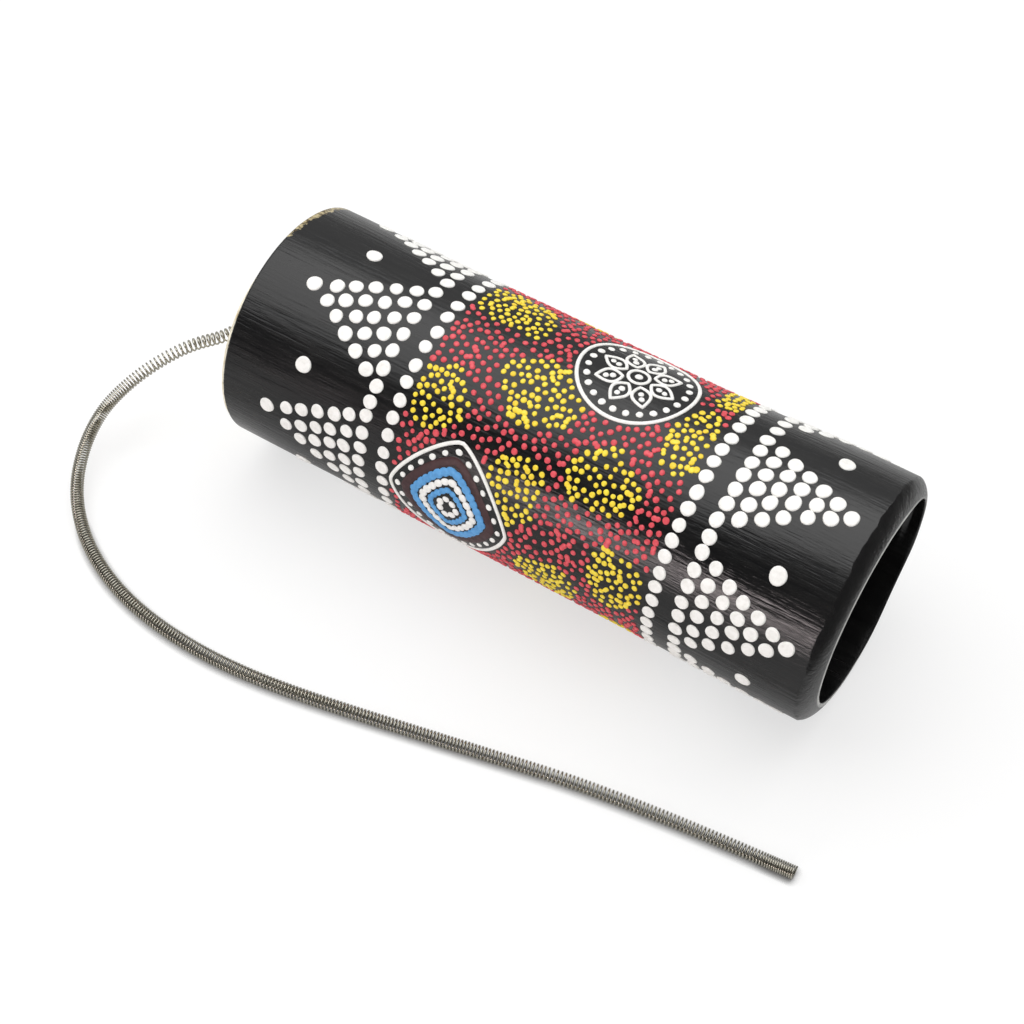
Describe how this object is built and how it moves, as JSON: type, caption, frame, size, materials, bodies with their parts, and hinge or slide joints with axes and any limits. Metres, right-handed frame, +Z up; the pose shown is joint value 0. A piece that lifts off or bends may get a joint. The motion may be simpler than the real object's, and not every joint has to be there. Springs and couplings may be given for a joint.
{
  "type": "thunder tube",
  "caption": "Painted bamboo tube with a rolled open mouth, a skin glued over the other end and a long coil spring hung from the skin's centre, which makes a thunder sound when shaken.",
  "frame": {"origin": "on the floor, under the middle of the tube with its head", "axes": "+X along the tube's axis towards the open mouth, +Z up, the spring lies on the -Y side"},
  "size_m": [0.2466, 0.1282, 0.07],
  "materials": {
    "painted_bamboo": "bamboo under brushed satin black paint with raised paint dots",
    "rim_glue": "dried yellowish glue",
    "skin": "thin cream parchment",
    "patch": "tan leather patch",
    "washer": "plain pale plastic",
    "glue_dab": "dried glue",
    "spring_wire": "drawn spring steel wire"
  },
  "bodies": {
    "tube": {"tube_body": "painted_bamboo", "rim_glue": "rim_glue", "drumhead": "skin"},
    "head_centre": {"head_patch": "patch", "anchor_washer": "washer", "anchor_glue": "glue_dab"},
    "spring": {"spring": "spring_wire"}
  },
  "joints": [
    {"name": "head_flex", "type": "slide", "parent": "tube", "child": "head_centre", "axis": [1, 0, 0], "range_m": [-0.0015, 0.0015], "stiffness_N_per_m": 2500, "deforming": ["drumhead"]},
    {"name": "spring_swing", "type": "hinge", "parent": "head_centre", "child": "spring", "pos_m": [-0.0933, 0, 0.035], "axis": [0, 0, 1], "range_deg": [-60, 12], "deforming": ["spring"]}
  ]
}
